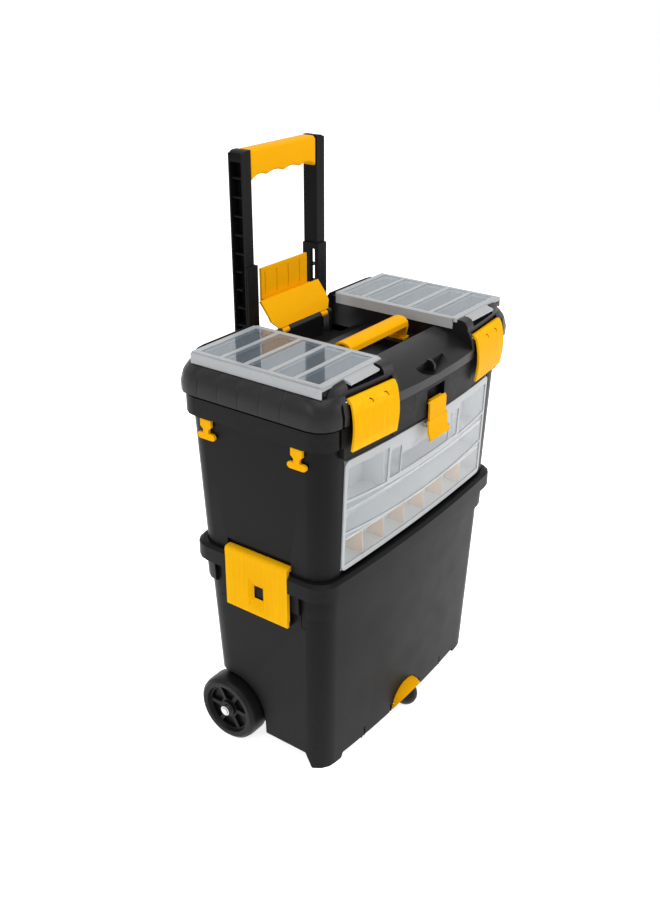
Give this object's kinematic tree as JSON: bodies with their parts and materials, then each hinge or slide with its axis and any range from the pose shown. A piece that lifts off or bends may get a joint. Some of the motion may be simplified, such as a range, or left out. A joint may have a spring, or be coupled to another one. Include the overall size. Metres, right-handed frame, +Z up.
{
  "type": "rolling tool box",
  "caption": "Rolling tool box: wheeled lower bin with a telescopic pull handle, and a clamped upper box with latched lid, clear parts organisers and a removable front organiser.",
  "frame": {"origin": "on the floor, below the middle of the overall box", "axes": "+X to the right-hand side seen from the front, -Y to the front, +Z up"},
  "size_m": [0.4586, 0.284, 0.8195],
  "materials": {
    "charcoal_plastic": "satin moulded charcoal plastic",
    "yellow_plastic": "semi-gloss moulded yellow plastic",
    "clear_plastic": "frosted see-through plastic",
    "beige_plastic": "matt beige plastic",
    "zinc_steel": "zinc-plated steel",
    "wheel_plastic": "matt black wheel plastic"
  },
  "bodies": {
    "bin": {"lower_bin": "charcoal_plastic", "rail_frame": "charcoal_plastic", "frame_screw_lower_left": "zinc_steel", "frame_screw_lower_right": "zinc_steel", "frame_screw_upper_left": "zinc_steel", "frame_screw_upper_right": "zinc_steel", "wheel_axle_left": "zinc_steel", "wheel_axle_right": "zinc_steel", "push_cap_left": "zinc_steel", "push_cap_right": "zinc_steel", "caster_stem": "zinc_steel", "clamp_pin_left": "zinc_steel", "clamp_pin_right": "zinc_steel"},
    "wheel_left": {"rear_wheel_left": "wheel_plastic"},
    "wheel_right": {"rear_wheel_right": "wheel_plastic"},
    "caster": {"caster_hood": "yellow_plastic", "caster_axle": "zinc_steel"},
    "caster_roller": {"caster_wheel": "wheel_plastic"},
    "pull_handle": {"pull_handle_frame": "charcoal_plastic", "pull_grip": "yellow_plastic"},
    "clamp_left": {"side_clamp_left": "yellow_plastic"},
    "clamp_right": {"side_clamp_right": "yellow_plastic"},
    "upper_box": {"upper_tub": "charcoal_plastic", "strap_hook_left_front": "yellow_plastic", "strap_hook_left_rear": "yellow_plastic", "strap_hook_right_front": "yellow_plastic", "strap_hook_right_rear": "yellow_plastic", "lid_hinge_pin_left": "zinc_steel", "lid_hinge_pin_right": "zinc_steel"},
    "lid_body": {"lid": "charcoal_plastic", "latch_pin_left": "zinc_steel", "latch_pin_right": "zinc_steel", "carry_handle": "yellow_plastic", "flap_pin": "zinc_steel"},
    "latch_left_body": {"latch_left": "yellow_plastic"},
    "latch_right_body": {"latch_right": "yellow_plastic"},
    "organiser_lid_left_body": {"organiser_lid_left": "clear_plastic"},
    "organiser_lid_right_body": {"organiser_lid_right": "clear_plastic"},
    "flap": {"lock_flap": "yellow_plastic"},
    "front_organiser": {"front_organiser_tray": "clear_plastic", "organiser_divider_1": "beige_plastic", "organiser_divider_2": "beige_plastic", "organiser_divider_3": "beige_plastic", "organiser_divider_4": "beige_plastic", "organiser_divider_5": "beige_plastic", "organiser_divider_6": "beige_plastic"},
    "organiser_cover": {"front_organiser_cover": "clear_plastic", "clip_pin": "zinc_steel"},
    "clip": {"organiser_clip": "yellow_plastic"}
  },
  "joints": [
    {"name": "wheel_spin_left", "type": "hinge", "parent": "bin", "child": "wheel_left", "pos_m": [-0.2025, 0.06605, 0.0504], "axis": [1, 0, 0], "continuous": true},
    {"name": "wheel_spin_right", "type": "hinge", "parent": "bin", "child": "wheel_right", "pos_m": [0.2025, 0.06605, 0.0504], "axis": [1, 0, 0], "continuous": true},
    {"name": "caster_swivel", "type": "hinge", "parent": "bin", "child": "caster", "pos_m": [0, -0.09655, 0.05], "axis": [0, 0, 1], "continuous": true},
    {"name": "caster_roll", "type": "hinge", "parent": "caster", "child": "caster_roller", "pos_m": [0, -0.10155, 0.0206], "axis": [1, 0, 0], "continuous": true},
    {"name": "handle_slide", "type": "slide", "parent": "bin", "child": "pull_handle", "axis": [0, 0, 1], "range_m": [-0.1, 0]},
    {"name": "clamp_swing_left", "type": "hinge", "parent": "bin", "child": "clamp_left", "pos_m": [-0.2135, 0.00045, 0.246], "axis": [0, -1, 0], "range_deg": [0, 90]},
    {"name": "clamp_swing_right", "type": "hinge", "parent": "bin", "child": "clamp_right", "pos_m": [0.2135, 0.00045, 0.246], "axis": [0, 1, 0], "range_deg": [0, 90]},
    {"name": "box_lift", "type": "slide", "parent": "bin", "child": "upper_box", "axis": [0, 0, 1], "range_m": [0, 0.06]},
    {"name": "lid_hinge", "type": "hinge", "parent": "upper_box", "child": "lid_body", "pos_m": [0, 0.12695, 0.54255], "axis": [-1, 0, 0], "range_deg": [0, 65]},
    {"name": "latch_swing_left", "type": "hinge", "parent": "lid_body", "child": "latch_left_body", "pos_m": [-0.1411, -0.12325, 0.5713], "axis": [-0.9956, 0.0936, 0], "range_deg": [0, 100]},
    {"name": "latch_swing_right", "type": "hinge", "parent": "lid_body", "child": "latch_right_body", "pos_m": [0.1411, -0.12325, 0.5713], "axis": [-0.9956, -0.0936, 0], "range_deg": [0, 100]},
    {"name": "organiser_lid_hinge_left", "type": "hinge", "parent": "lid_body", "child": "organiser_lid_left_body", "pos_m": [-0.1545, 0.10045, 0.5913], "axis": [-1, 0, 0], "range_deg": [0, 100]},
    {"name": "organiser_lid_hinge_right", "type": "hinge", "parent": "lid_body", "child": "organiser_lid_right_body", "pos_m": [0.1545, 0.10045, 0.5913], "axis": [-1, 0, 0], "range_deg": [0, 100]},
    {"name": "flap_fold", "type": "hinge", "parent": "lid_body", "child": "flap", "pos_m": [0, 0.08595, 0.578], "axis": [1, 0, 0], "range_deg": [0, 100]},
    {"name": "organiser_pull", "type": "slide", "parent": "upper_box", "child": "front_organiser", "axis": [0, -1, 0], "range_m": [0, 0.1]},
    {"name": "cover_hinge", "type": "hinge", "parent": "front_organiser", "child": "organiser_cover", "pos_m": [0, -0.11455, 0.3297], "axis": [1, 0, 0], "range_deg": [0, 90]},
    {"name": "clip_swing", "type": "hinge", "parent": "organiser_cover", "child": "clip", "pos_m": [0, -0.12662, 0.4805], "axis": [1, 0, 0], "range_deg": [0, 50]}
  ]
}
